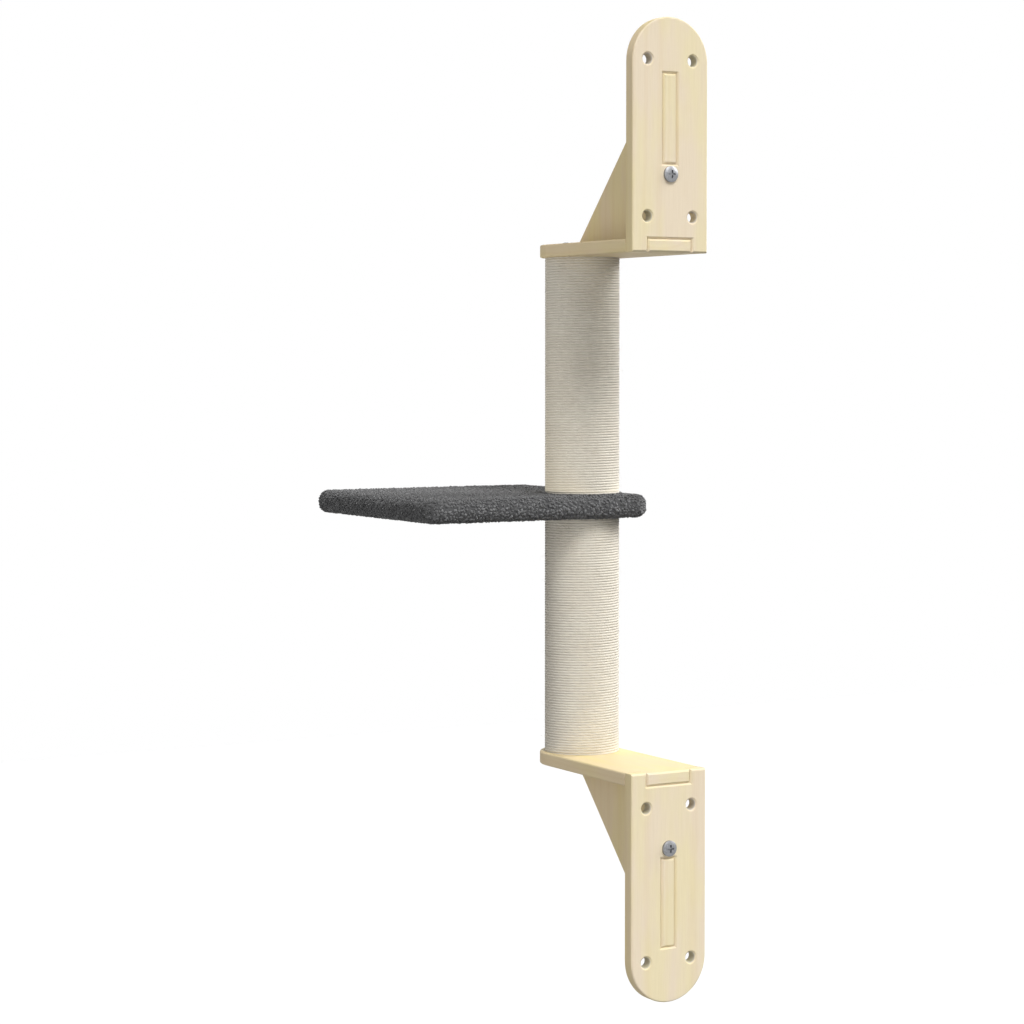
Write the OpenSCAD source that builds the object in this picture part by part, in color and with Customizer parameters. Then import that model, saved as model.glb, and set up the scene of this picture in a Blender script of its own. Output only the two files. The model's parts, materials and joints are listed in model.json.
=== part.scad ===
// Wall mounted cat tree: two pine wall brackets hold a rope-wound scratching post,
// and a plush-covered platform is clamped between the two sections of the post.
// Frame: the wall is the plane y = 0, the tree stands out towards -Y, and +Z is up.
// Origin: centre of the upper bracket's four wall holes, on the wall plane.

/* [Boards] */
// Thickness of the wall plates, the shelves and the platform's board
board_t = 15; // [12:0.5:20]
// Width of the wall plates and of the shelves
plate_w = 100; // [90:1:130]
// Length of a wall plate, from its shelf end to the crown of its round end
plate_l = 263; // [250:1:320]
// Radius of the eased edges of the boards
edge_r = 2; // [0.5:0.25:2.5]
// Width of the bevels on both sides of each joint that shows on the wall side
joint_bevel = 2.25; // [0.5:0.25:2.5]

/* [Wall holes] */
// Diameter of the four wall holes in a plate
wall_hole_d = 12; // [6:0.5:14]
// Width of the bevel at both mouths of a wall hole
wall_hole_bevel = 2; // [0.5:0.25:2.5]
// Distance between the two columns of wall holes
wall_hole_spacing_x = 60; // [50:1:70]
// Distance between the two rows of wall holes
wall_hole_spacing_z = 175; // [160:1:180]
// Distance from the plate's shelf end to the first row of wall holes
wall_hole_first = 40; // [35:1:45]

/* [Shelves] */
// Distance from the wall to the axis of the post, where the shelf's round end is centred
post_offset = 190; // [170:1:230]
// Width of the shelf's tongue, which passes through the wall plate
tongue_w = 58; // [40:1:70]

/* [Gussets] */
// Thickness of the gusset's board
gusset_t = 18; // [15:0.5:20]
// Length of the gusset's edge along the shelf
gusset_reach = 172; // [140:1:180]
// Length of the gusset's edge along the wall plate
gusset_rise = 185; // [175:1:195]
// Length of the gusset's tenon, which passes through the wall plate
tenon_l = 101; // [80:1:104]
// Height of the gusset screw above the plate's shelf end
gusset_screw_z = 87.5; // [75:0.5:88]
// Diameter of the gusset screw's pan head
gusset_head_d = 18; // [14:0.5:18]
// Height of the gusset screw's pan head
gusset_head_h = 4.5; // [3:0.25:5]
// Diameter of the gusset screw's shank
gusset_shank_d = 6; // [5:0.5:7]
// Length of the gusset screw under its head
gusset_screw_l = 60; // [45:1:70]
// Diameter of the glued dowels between gusset and shelf
dowel_d = 8; // [6:1:8]
// Length of a glued dowel
dowel_l = 30; // [24:1:36]
// Depth of a dowel in the shelf
dowel_in_shelf = 10; // [8:0.5:11]

/* [Post] */
// Length of one section of the post, from the shelf to the platform
section_l = 278; // [240:1:400]
// Diameter of the post over its rope
post_d = 89; // [80:1:95]
// Diameter of the sisal rope
rope_d = 3; // [2:0.25:4]
// Number of rope loops shown on a section
rope_loops = 15; // [6:1:15]
// Thickness of the plain core that stands for the rest of the rope
rope_core_t = 3; // [2:0.25:4]
// Wall of the paper tube inside the rope
tube_wall = 3; // [2:0.25:5]
// Thickness of the wooden plugs in the ends of the tubes
plug_t = 25; // [22:1:35]
// Distance between the two screws that hold the post to a shelf
post_screw_spacing = 44; // [36:1:50]
// Diameter of a post screw's shank
post_screw_d = 5; // [4:0.25:6]
// Length of a post screw under its head
post_screw_l = 36; // [28:1:36]
// Diameter of a post screw's pan head
post_head_d = 10; // [8:0.5:12]
// Height of a post screw's pan head
post_head_h = 3; // [2:0.25:4]
// Diameter of the stud that joins the two sections through the platform
stud_d = 8; // [6:0.5:10]
// Length of the stud in each plug
stud_grip = 18; // [14:0.5:21]
// Outer diameter of the threaded insert in a plug
insert_d = 12; // [11:0.5:14]
// Length of the threaded insert
insert_l = 16; // [12:0.5:20]

/* [Platform] */
// Width of the covered platform, along the wall
platform_w = 297; // [240:1:400]
// Depth of the covered platform, away from the wall
platform_d = 300; // [240:1:400]
// Thickness of the padded plush cover on each face of the platform's board
cover_t = 7; // [5:0.5:9]
// Radius of the covered platform's corners, seen from above
platform_corner_r = 20; // [14:1:50]
// Radius of the covered platform's edges, seen from the side
platform_edge_r = 11; // [7:0.5:12]
// Distance from the platform's short end to the axis of the post
post_inset_x = 60; // [55:1:90]
// Distance from the platform's wall side to the axis of the post
post_inset_y = 60; // [55:1:90]

/* [Hidden] */

$fn = 64;

// Glue gap beside tongues, tenons and dowels
joint_gap = 0.2;
// Gap round shanks, plugs and inserts
hole_gap = 0.1;
// Gap between the tube and the rope core, and between the core and the loops of rope
rope_gap = 0.3;
// Gap round the board inside its cover
cover_gap = 0.3;
// Overrun of every cut
over = 1;
// Bevel at the ends of dowels, stud and inserts
end_bevel = 1;
// Rings of the rope's tube in one loop, and sides of that tube
loop_rings = 24;
rope_sides = 6;
// Rings in the bend at each end of the winding
bend_rings = 4;

// Share of the gusset's reach at which its two dowels stand
dowel_places_share = [0.22, 0.62];
// Straight wall of a pan head, as a share of its height
head_wall_share = 0.55;
// Arms of a cross recess: length and width as shares of the head's diameter, depth of its height
recess_length_share = 0.5;
recess_width_share = 0.12;
recess_depth_share = 0.6;
// Inner radius of the bend at a winding's ends, as a share of the rope's diameter
bend_share = 2;
// Hole for the stud in board and cover, as a share of the stud's diameter
stud_hole_share = 1.125;
// Depth of the screw holes in a plug, as a share of its thickness
pilot_share = 0.9;

wood = [0.91, 0.86, 0.75];
rope_cream = [0.89, 0.86, 0.78];
paper = [0.80, 0.72, 0.60];
plush_grey = [0.27, 0.27, 0.28];
zinc = [0.68, 0.68, 0.70];
birch = [0.87, 0.78, 0.62];

// Heights, all measured from the origin
shelf_end_z = -(wall_hole_first + wall_hole_spacing_z / 2);
platform_t = board_t + 2 * cover_t;
mid_z = shelf_end_z - section_l - platform_t / 2;

end_r = plate_w / 2;
post_y = -post_offset;
gusset_top = board_t + gusset_rise;

// Radii of the post, from the rope inwards
rope_r = rope_d / 2;
rope_path_r = post_d / 2 - rope_r;
rope_apothem = rope_r * cos(180 / rope_sides);
core_r = rope_path_r * cos(180 / loop_rings) - rope_apothem - rope_gap;
tube_r = core_r - rope_core_t - rope_gap;
plug_r = tube_r - tube_wall - hole_gap;

// Route of one winding, unrolled: distance round the post and height over the shelf's face
bend_r = bend_share * rope_d;
end_rise = rope_d + bend_r;
helix_rise = section_l - 2 * end_rise;
loop_rise = helix_rise / rope_loops;
around = 2 * PI * rope_path_r;
lead = atan(loop_rise / around);

// A unit shape's placement: the upper bracket as it is, or its mirror image below the platform
module at_upper() { translate([0, 0, shelf_end_z]) children(); }
module at_lower() { translate([0, 0, 2 * mid_z - shelf_end_z]) mirror([0, 0, 1]) children(); }

// Boards

// A rectangle with eased corners, for a board's cross-section
module eased_section(width, thickness) {
    square([width - 2 * edge_r, thickness], center = true);
    square([width, thickness - 2 * edge_r], center = true);
    for (sx = [-1, 1], sy = [-1, 1])
        translate([sx * (width / 2 - edge_r), sy * (thickness / 2 - edge_r)]) circle(edge_r);
}

// A board that lies along +X from the origin, with a half-round end; its thickness is along Z
module round_ended_board(length, width) {
    rotate([90, 0, 90])
        linear_extrude(length - width / 2) eased_section(width, board_t);
    translate([length - width / 2, 0, 0])
        rotate([0, 0, -90])
            rotate_extrude(angle = 180)
                intersection() {
                    eased_section(width, board_t);
                    translate([0, -board_t]) square([width, 2 * board_t]);
                }
}

// A bevel round a rectangular mouth, cut from the plane z = 0 downwards
module mouth_bevel(size_x, size_y) {
    wide = 2 * (joint_bevel + over);
    hull() {
        translate([0, 0, over]) cube([size_x + wide, size_y + wide, hole_gap], center = true);
        translate([0, 0, -joint_bevel]) cube([size_x, size_y, hole_gap], center = true);
    }
}

// A bar along the X axis that bevels the edge it is centred on
module edge_cut(length, bevel) {
    rotate([45, 0, 0]) cube([length + 2 * over, sqrt(2) * bevel, sqrt(2) * bevel], center = true);
}

// Bars that bevel the four edges of a tenon's end, about the middle of the end in the plane y = 0
module tenon_end_cuts(width, height) {
    for (sx = [-1, 1]) translate([sx * width / 2, 0, 0]) rotate([0, 90, 0]) edge_cut(height, joint_bevel);
    for (sz = [-1, 1]) translate([0, 0, sz * height / 2]) edge_cut(width, joint_bevel);
}

// A round hole along -Z from the plane z = 0, bevelled at both mouths
module bevelled_hole(d, depth, bevel) {
    translate([0, 0, -depth - over]) cylinder(h = depth + 2 * over, d = d);
    translate([0, 0, -bevel]) cylinder(h = bevel + over, r1 = d / 2, r2 = d / 2 + bevel + over);
    translate([0, 0, -depth - over])
        cylinder(h = bevel + over, r1 = d / 2 + bevel + over, r2 = d / 2);
}

// The wall plate: round outer end, notch for the shelf, mortise for the gusset, wall holes
module wall_plate() {
    color(wood)
        difference() {
            translate([0, -board_t / 2, 0]) rotate([90, -90, 0]) round_ended_board(plate_l, plate_w);
            for (face_y = [-board_t, 0]) translate([0, face_y, 0]) edge_cut(plate_w, edge_r);
            translate([-tongue_w / 2 - joint_gap, -board_t - over, -over])
                cube([tongue_w + 2 * joint_gap, board_t + 2 * over, board_t + joint_gap + over]);
            translate([0, 0, board_t / 2])
                rotate([-90, 0, 0]) mouth_bevel(tongue_w + 2 * joint_gap, board_t + 2 * joint_gap);
            translate([-gusset_t / 2 - joint_gap, -board_t - over, gusset_top - tenon_l - joint_gap])
                cube([gusset_t + 2 * joint_gap, board_t + 2 * over, tenon_l + 2 * joint_gap]);
            translate([0, 0, gusset_top - tenon_l / 2])
                rotate([-90, 0, 0]) mouth_bevel(gusset_t + 2 * joint_gap, tenon_l + 2 * joint_gap);
            for (sx = [-1, 1], row = [0, 1])
                translate([sx * wall_hole_spacing_x / 2, 0, wall_hole_first + row * wall_hole_spacing_z])
                    rotate([-90, 0, 0]) bevelled_hole(wall_hole_d, board_t, wall_hole_bevel);
            translate([0, over, gusset_screw_z])
                rotate([90, 0, 0]) cylinder(h = board_t + 2 * over, d = gusset_shank_d + 2 * hole_gap);
        }
}

// The shelf: half-round outer end over the post, and a tongue through the wall plate
module shelf() {
    color(wood)
        difference() {
            union() {
                translate([0, -board_t, board_t / 2])
                    rotate([0, 0, -90]) round_ended_board(post_offset + end_r - board_t, plate_w);
                translate([-tongue_w / 2, -board_t - end_r, 0])
                    cube([tongue_w, board_t + end_r, board_t]);
            }
            translate([0, 0, board_t / 2]) tenon_end_cuts(tongue_w, board_t);
            for (sx = [-1, 1])
                translate([sx * post_screw_spacing / 2, post_y, -over])
                    cylinder(h = board_t + 2 * over, d = post_screw_d + 2 * hole_gap);
            dowel_holes(board_t - dowel_in_shelf - joint_gap, dowel_in_shelf + joint_gap + over);
        }
}

// The gusset: a right triangle on edge, with a tenon through the wall plate
module gusset() {
    front = -board_t;
    tip = front - gusset_reach;
    slope = atan(gusset_rise / gusset_reach);
    edge_l = norm([gusset_reach, gusset_rise]);
    color(wood)
        difference() {
            rotate([90, 0, 90])
                linear_extrude(gusset_t, center = true)
                    polygon([[tip, board_t], [front, board_t], [front, gusset_top - tenon_l],
                             [0, gusset_top - tenon_l], [0, gusset_top], [front, gusset_top]]);
            for (sx = [-1, 1])
                translate([sx * gusset_t / 2, (tip + front) / 2, board_t + gusset_rise / 2])
                    rotate([slope, 0, 0]) rotate([0, 0, 90]) edge_cut(edge_l, edge_r);
            translate([0, 0, gusset_top - tenon_l / 2]) tenon_end_cuts(gusset_t, tenon_l);
            translate([0, front + over, gusset_screw_z])
                rotate([90, 0, 0])
                    cylinder(h = gusset_screw_l - board_t + joint_gap + over,
                             d = gusset_shank_d + 2 * hole_gap);
            dowel_holes(board_t - over, dowel_l - dowel_in_shelf + joint_gap + over);
        }
}

// Holes for the gusset's dowels, from a height over the shelf's inner face and upwards
module dowel_holes(from, depth) {
    for (place = dowel_places_share)
        translate([0, -board_t - place * gusset_reach, from])
            cylinder(h = depth, d = dowel_d + 2 * joint_gap);
}

// Fasteners

// A pan head with a cross recess, on the plane z = 0 and rising along +Z
module pan_head(d, h) {
    wall = head_wall_share * h;
    dome = h - wall;
    dome_r = (d * d / 4 + dome * dome) / (2 * dome);
    difference() {
        union() {
            cylinder(h = wall, d = d);
            intersection() {
                translate([0, 0, h - dome_r]) sphere(dome_r);
                cylinder(h = h, d = d);
            }
        }
        for (turn = [0, 90])
            rotate([0, 0, turn])
                translate([0, 0, h])
                    cube([recess_length_share * d, recess_width_share * d, 2 * recess_depth_share * h],
                         center = true);
    }
}

// A screw with its head over the plane z = 0 and its shank below, ending in a point
module screw(head_d, head_h, shank_d, length) {
    pan_head(head_d, head_h);
    translate([0, 0, -length + shank_d]) cylinder(h = length - shank_d, d = shank_d);
    translate([0, 0, -length]) cylinder(h = shank_d, r1 = 0, r2 = shank_d / 2);
}

// A round pin from z = 0 upwards, bevelled at both ends
module bevelled_pin(d, length) {
    rotate_extrude()
        polygon([[0, 0], [d / 2 - end_bevel, 0], [d / 2, end_bevel], [d / 2, length - end_bevel],
                 [d / 2 - end_bevel, length], [0, length]]);
}

// The screw that pulls the gusset against the wall plate; its head stays proud of the plate
module gusset_screw() {
    color(zinc)
        translate([0, 0, gusset_screw_z])
            rotate([-90, 0, 0]) screw(gusset_head_d, gusset_head_h, gusset_shank_d, gusset_screw_l);
}

// The two glued dowels between gusset and shelf
module gusset_dowels() {
    color(birch)
        for (place = dowel_places_share)
            translate([0, -board_t - place * gusset_reach, board_t - dowel_in_shelf])
                bevelled_pin(dowel_d, dowel_l);
}

// The two screws through the shelf into the plug of the post
module post_screws() {
    color(zinc)
        for (sx = [-1, 1])
            translate([sx * post_screw_spacing / 2, post_y, board_t])
                screw(post_head_d, post_head_h, post_screw_d, post_screw_l);
}

// The post, below the plane z = 0 of the shelf's inner face

// The paper tube that carries the rope
module post_tube() {
    color(paper)
        translate([0, post_y, -section_l])
            difference() {
                cylinder(h = section_l, r = tube_r);
                translate([0, 0, -over]) cylinder(h = section_l + 2 * over, r = tube_r - tube_wall);
            }
}

// The wooden plug at the shelf, with holes for the two post screws
module shelf_plug() {
    color(birch)
        translate([0, post_y, -plug_t])
            difference() {
                cylinder(h = plug_t, r = plug_r);
                for (sx = [-1, 1])
                    translate([sx * post_screw_spacing / 2, 0, plug_t * (1 - pilot_share)])
                        cylinder(h = plug_t * pilot_share + over, d = post_screw_d + 2 * hole_gap);
            }
}

// The wooden plug at the platform, with a seat for the threaded insert
module platform_plug() {
    color(birch)
        translate([0, post_y, -section_l])
            difference() {
                cylinder(h = plug_t, r = plug_r);
                translate([0, 0, -over]) cylinder(h = plug_t + 2 * over, d = stud_hole_share * stud_d);
                translate([0, 0, -over]) cylinder(h = insert_l + hole_gap + over, d = insert_d + 2 * hole_gap);
            }
}

// The threaded insert, flush with the plug's outer face
module stud_insert() {
    color(zinc)
        translate([0, post_y, -section_l])
            difference() {
                bevelled_pin(insert_d, insert_l);
                translate([0, 0, -over]) cylinder(h = insert_l + 2 * over, d = stud_d + 2 * hole_gap);
            }
}

// The plain core of the winding
module rope_core() {
    color(rope_cream)
        translate([0, post_y, -section_l])
            difference() {
                cylinder(h = section_l, r = core_r, $fn = 4 * loop_rings);
                translate([0, 0, -over])
                    cylinder(h = section_l + 2 * over, r = core_r - rope_core_t, $fn = 4 * loop_rings);
            }
}

// The rope's route over the unrolled post: [distance round the post, height]
function bend_point(turn) = [bend_r * (sin(turn) - sin(lead)), bend_r * (cos(lead) - cos(turn))];
bend_end = bend_point(90);
helix_start = [0, rope_d + bend_end[1]];
helix_end = [rope_loops * around, section_l - rope_d - bend_end[1]];
bend_turns = [for (i = [1:bend_rings]) lead + (90 - lead) * i / bend_rings];
tail = [
    for (i = [bend_rings - 1:-1:0]) helix_start - bend_point(bend_turns[i])
];
route = concat(
    [helix_start - bend_end - [0, rope_d]],
    tail,
    [
        for (i = [0:rope_loops * loop_rings])
            helix_start + (helix_end - helix_start) * i / (rope_loops * loop_rings)
    ],
    [for (turn = bend_turns) helix_end + bend_point(turn)],
    [helix_end + bend_end + [0, rope_d]]
);

// The route's points round the post, and the direction of the rope at each
function wrap(p) =
    let (turn = 360 * p[0] / around) [rope_path_r * cos(turn), rope_path_r * sin(turn), p[1]];
function unit(v) = v / norm(v);
function along(i) =
    i == 0 || i == len(route) - 1
        ? [0, 0, 1]
        : unit(unit(wrap(route[i + 1]) - wrap(route[i])) + unit(wrap(route[i]) - wrap(route[i - 1])));
function ring(i) =
    let (
        p = wrap(route[i]),
        ahead = along(i),
        out = unit([p[0], p[1], 0] - ahead * (ahead * [p[0], p[1], 0])),
        side = cross(ahead, out)
    )
    [
        for (k = [0:rope_sides - 1])
            let (a = 360 * (k + 0.5) / rope_sides) p + rope_r * (out * cos(a) + side * sin(a))
    ];

// One winding as one unbroken tube; all its faces are triangles
module winding_tube() {
    rings = len(route);
    polyhedron(
        points = [for (i = [0:rings - 1]) each ring(i)],
        faces = concat(
            [for (k = [1:rope_sides - 2]) [0, k, k + 1]],
            [
                for (i = [0:rings - 2], k = [0:rope_sides - 1])
                    let (a = i * rope_sides + k, b = i * rope_sides + (k + 1) % rope_sides)
                        each [[a, a + rope_sides, b], [b, a + rope_sides, b + rope_sides]]
            ],
            [
                for (k = [1:rope_sides - 2])
                    let (last = (rings - 1) * rope_sides) [last, last + k + 1, last + k]
            ]
        )
    );
}

// The loops of rope over their core; the ends stand square to the shelf and the platform
module rope_winding() {
    color(rope_cream)
        translate([0, post_y, -section_l]) winding_tube();
}

// Least gap between points of the winding that lie over half a loop apart, less the rope itself
centres = [for (p = route) wrap(p)];
least_gap = min([
    for (i = [0:len(centres) - 1])
        min([
            for (j = [0:len(centres) - 1])
                abs(i - j) > loop_rings / 2 ? norm(centres[i] - centres[j]) : section_l
        ])
]) - rope_d;
echo(str("Least gap of a rope winding to itself: ", least_gap, " mm"));

// The platform, about the origin at its own middle

// A rectangle with round corners, about its middle
module round_rectangle(width, height, radius) {
    square([width - 2 * radius, height], center = true);
    square([width, height - 2 * radius], center = true);
    for (sx = [-1, 1], sy = [-1, 1])
        translate([sx * (width / 2 - radius), sy * (height / 2 - radius)]) circle(radius);
}

// A slab with round corners and rounded edges
module soft_slab(width, depth, thickness, corner, edge) {
    for (sx = [-1, 1], sy = [-1, 1])
        translate([sx * (width / 2 - corner), sy * (depth / 2 - corner), 0])
            rotate_extrude()
                intersection() {
                    round_rectangle(2 * corner, thickness, edge);
                    translate([0, -thickness]) square([2 * corner, 2 * thickness]);
                }
    rotate([90, 0, 0])
        linear_extrude(depth - 2 * corner, center = true) round_rectangle(width, thickness, edge);
    rotate([90, 0, 90])
        linear_extrude(width - 2 * corner, center = true) round_rectangle(depth, thickness, edge);
}

// A flat board with round corners
module round_cornered_board(width, depth, thickness, corner) {
    linear_extrude(thickness, center = true) round_rectangle(width, depth, corner);
}

// Places the platform on the post, with the origin of its children at its middle
module at_platform() {
    translate([platform_w / 2 - post_inset_x, post_y + post_inset_y - platform_d / 2, mid_z]) children();
}

// A hole for the stud through board and cover
module stud_hole() {
    translate([0, post_y, mid_z])
        cylinder(h = platform_t + 2 * over, d = stud_hole_share * stud_d, center = true);
}

// The board inside the platform
module platform_board() {
    color(wood)
        difference() {
            at_platform()
                round_cornered_board(platform_w - 2 * cover_t, platform_d - 2 * cover_t, board_t,
                                     platform_corner_r - cover_t);
            stud_hole();
        }
}

// The plush cover, closed round the board
module platform_cover() {
    color(plush_grey)
        difference() {
            at_platform()
                difference() {
                    soft_slab(platform_w, platform_d, platform_t, platform_corner_r, platform_edge_r);
                    round_cornered_board(platform_w - 2 * cover_t + 2 * cover_gap,
                                         platform_d - 2 * cover_t + 2 * cover_gap, board_t,
                                         platform_corner_r - cover_t + cover_gap);
                }
            stud_hole();
        }
}

// The stud that joins the two sections of the post through the platform
module platform_stud() {
    length = platform_t + 2 * stud_grip;
    color(zinc) translate([0, post_y, mid_z - length / 2]) bevelled_pin(stud_d, length);
}

at_upper() wall_plate();  // upper_wall_plate
at_upper() shelf();  // upper_shelf
at_upper() gusset();  // upper_gusset
at_upper() gusset_screw();  // upper_gusset_screw
at_upper() gusset_dowels();  // upper_gusset_dowels
at_upper() post_screws();  // upper_post_screws
at_upper() post_tube();  // upper_post_tube
at_upper() shelf_plug();  // upper_shelf_plug
at_upper() platform_plug();  // upper_platform_plug
at_upper() stud_insert();  // upper_stud_insert
at_upper() rope_core();  // upper_rope_core
at_upper() rope_winding();  // upper_rope_winding
at_lower() wall_plate();  // lower_wall_plate
at_lower() shelf();  // lower_shelf
at_lower() gusset();  // lower_gusset
at_lower() gusset_screw();  // lower_gusset_screw
at_lower() gusset_dowels();  // lower_gusset_dowels
at_lower() post_screws();  // lower_post_screws
at_lower() post_tube();  // lower_post_tube
at_lower() shelf_plug();  // lower_shelf_plug
at_lower() platform_plug();  // lower_platform_plug
at_lower() stud_insert();  // lower_stud_insert
at_lower() rope_core();  // lower_rope_core
at_lower() rope_winding();  // lower_rope_winding
platform_board();
platform_cover();
platform_stud();
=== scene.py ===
"""Looks of the wall mounted cat tree: pine brackets, rope-wound post and curly plush platform."""

import json
import math

import bmesh
import bpy
import numpy as np
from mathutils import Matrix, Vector


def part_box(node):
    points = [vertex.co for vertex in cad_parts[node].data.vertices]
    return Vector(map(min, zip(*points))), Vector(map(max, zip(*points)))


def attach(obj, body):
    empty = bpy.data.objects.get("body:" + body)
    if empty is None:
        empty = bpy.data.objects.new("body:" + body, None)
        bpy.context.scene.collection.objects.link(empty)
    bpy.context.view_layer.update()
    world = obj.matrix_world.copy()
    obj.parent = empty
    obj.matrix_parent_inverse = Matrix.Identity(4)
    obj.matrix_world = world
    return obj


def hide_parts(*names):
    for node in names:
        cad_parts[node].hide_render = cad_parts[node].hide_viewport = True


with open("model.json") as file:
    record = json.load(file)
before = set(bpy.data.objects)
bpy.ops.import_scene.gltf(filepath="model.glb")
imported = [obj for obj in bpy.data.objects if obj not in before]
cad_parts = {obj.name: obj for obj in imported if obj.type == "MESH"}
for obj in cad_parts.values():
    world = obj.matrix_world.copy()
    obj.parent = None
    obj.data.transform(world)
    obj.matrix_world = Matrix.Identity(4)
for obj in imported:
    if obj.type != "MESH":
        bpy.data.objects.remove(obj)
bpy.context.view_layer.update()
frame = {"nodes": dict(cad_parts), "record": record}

MM = 0.001
SIDES = ("upper", "lower")
SEED = 7
WHITE = (1.0, 1.0, 1.0)

# Camera: where the photograph was taken from in metres, its turns in radians, its lens in millimetres,
# its shift in picture widths, and the nearest and furthest thing it sees in metres
CAMERA_PLACE = (1.6422, 2.5202, -0.2456)
CAMERA_TURN = 0.51851
CAMERA_PITCH = 0.03851
CAMERA_LENS = 93.92
CAMERA_SHIFT_Y = -0.05
CAMERA_REACH = (0.1, 60.0)

# Lamps: the direction that each shines from (degrees from +X round to +Y, degrees above the horizon),
# its strength and its spread in degrees
LAMPS = {
    "key_high": (88, 57, 1.15, 14),
    "key_low": (91, 48, 0.955, 14),
    "front_fill": (82, 35, 0.42, 30),
    "right_side": (172, 30, 2.40, 40),
    "right_high": (160, 45, 0.45, 25),
    "right_back": (225, 12, 1.23, 60),
    "left_back": (315, 30, 0.56, 60),
    "left_side": (38, 2, 0.65, 60),
    "left_low": (20, -20, 0.64, 60),
    "front_low": (100, -25, 0.27, 60),
}

# Light that comes back up from the platform's top: its radiance, colour, width and height above the cover
BOUNCE_RADIANCE = 0.78
BOUNCE_COLOUR = (1.0, 0.94, 0.78)
BOUNCE_SIZE = 0.27
BOUNCE_HEIGHT = 2.5 * MM

# Room: the light from above and from below, how far the two blend at the horizon, and a pale floor well
# below the tree, with its grey and the light that it adds for the camera
LIGHT_FROM_ABOVE = 0.02
LIGHT_FROM_BELOW = 0.10
HORIZON_BLEND = 0.05
FLOOR_Z = -1.75
FLOOR_SIZE = 14.0
FLOOR_GREY = 0.25
FLOOR_LIFT = 0.72

# Wood: colours of the early and late wood, the tints of its bands and its dark fibres, and the painted shade
# on its side faces, its top faces and the walls of its wall holes
PINE = ((0.83, 0.73, 0.535), (0.77, 0.64, 0.415))
BIRCH = ((0.80, 0.68, 0.48), (0.74, 0.60, 0.40))
WARM_BAND_TINT = (1.003, 1.0, 0.885)
PINK_BAND_TINT = (0.995, 0.965, 1.02)
BAND_SHARE = 0.76
DARK_FIBRE_TINT = (0.90, 0.88, 0.84)
DARK_FIBRE_SHARE = 0.4
# Painted shade on the side faces and the top faces
SIDE_SHADE_TINT = (0.92, 0.88, 0.765)
TOP_SHADE_TINT = (0.92, 0.885, 0.71)
# Painted shade on the walls of the wall holes
HOLE_SHADE_TINT = (0.72, 0.79, 1.0)

# How far past a wall hole's wall its painted shade is full, and where it ends
HOLE_SHADE_FULL = 0.3 * MM
HOLE_SHADE_END = 0.8 * MM

# Grain: how far its rings wander, and for each board the turn that brings it to the texture's Z, the place
# of the frame's origin seen from the tree's pith, and the board's own place in the noise
RING_WANDER = 12 * MM
UPRIGHT = (0, 0, 0)
LYING = (math.pi / 2, 0, 0)
GRAINS = {
    "plate": (UPRIGHT, (12 * MM, 75 * MM, 0), 1.0),
    "shelf": (LYING, (-20 * MM, -60 * MM, 0), 4.0),
    "gusset": (UPRIGHT, (70 * MM, 50 * MM, 0), 7.0),
    "board": (LYING, (30 * MM, -80 * MM, 0), 11.0),
    "plug": (UPRIGHT, (20 * MM, 160 * MM, 0), 3.0),
}

# How far the lower bracket's boards lie from the upper ones' places in the tree
LOWER_DRIFT = {
    "plate": (-13 * MM, 0, 0),
    "shelf": (13 * MM, 0, 0),
    "gusset": (0, 13 * MM, 0),
}

# Screws and tubes: their darker and lighter tones
ZINC = ((0.20, 0.205, 0.215), (0.32, 0.325, 0.34))
PAPER = ((0.42, 0.33, 0.22), (0.60, 0.50, 0.36))

# Rope: its tones, the tint of its yarn's streaks and the painted shade in the hollows between its strands,
# with their shares, and the yarn's cells per metre along the rope and round it. From a strand's crown to the
# next hollow is one step: its length along the rope, and how many steps lie round it
ROPE_DARK = (0.70, 0.65, 0.56)
ROPE_MIDDLE = (0.72, 0.675, 0.585)
ROPE_LIGHT = (0.74, 0.70, 0.61)
STREAK_TINT = (0.90, 0.885, 0.85)
STREAK_SHARE = 0.18
# Painted shade in the hollows between the strands
HOLLOW_SHADE_TINT = (0.85, 0.83, 0.78)
HOLLOW_SHADE_SHARE = 0.08
YARN_CELLS = (420.0, 9.0, 1.0)
STRAND_STEP = 9 * MM
STRAND_STEPS_ROUND = 3.0
STRAND_CROWN_POWER = 0.45

# Winding: the turns press against each other, so their outer faces bulge only a little. The rings are those
# of one turn, the shares on its face and back are of its half height, and the end share is of a turn
ROPE_TURNS = 91
ROPE_RINGS = 96
ROPE_DEPTH = 3.0 * MM
ROPE_BULGE = 0.80 * MM
ROPE_FACE_SHARES = (-1, -0.55, 0, 0.55, 1)
ROPE_BACK_SHARES = (0.8, 0, -0.8)
ROPE_SIDES = len(ROPE_FACE_SHARES) + len(ROPE_BACK_SHARES)
ROPE_WANDER = 0.01 * MM
RINGS_PER_WANDER = 24
ROPE_END_ANGLE = math.radians(215)
ROPE_END_SHARE = 0.06

# Stray fibres of the rope. The arc is in half turns, and the shares and the slope are of a fibre's length.
# Roots start at the root depth, no point lies deeper than the sink, and the gaps are from the section's ends
FIBRES = 110
FIBRE_POINTS = 6
FIBRE_SIDES = 3
FIBRE_TONES = ((0.78, 0.72, 0.58), (0.92, 0.88, 0.78))
FIBRE_RADIUS = 0.06 * MM
FIBRE_TAPER = 0.7
FIBRE_LENGTH = (8 * MM, 26 * MM)
FIBRE_CUT_SHARES = (0.4, 1)
FIBRE_SLOPE = 0.5
FIBRE_ARC = (0.55, 1)
FIBRE_LIFT_SHARES = (0.12, 0.5)
FIBRE_DROOP_SHARE = 0.15
FIBRE_CURL = 1.2 * MM
FIBRE_ROOT_DEPTH = 0.5 * MM
FIBRE_SINK = 0.6 * MM
FIBRE_END_GAP = 4 * MM
FIBRE_EDGE_GAP = 0.5 * MM

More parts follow.
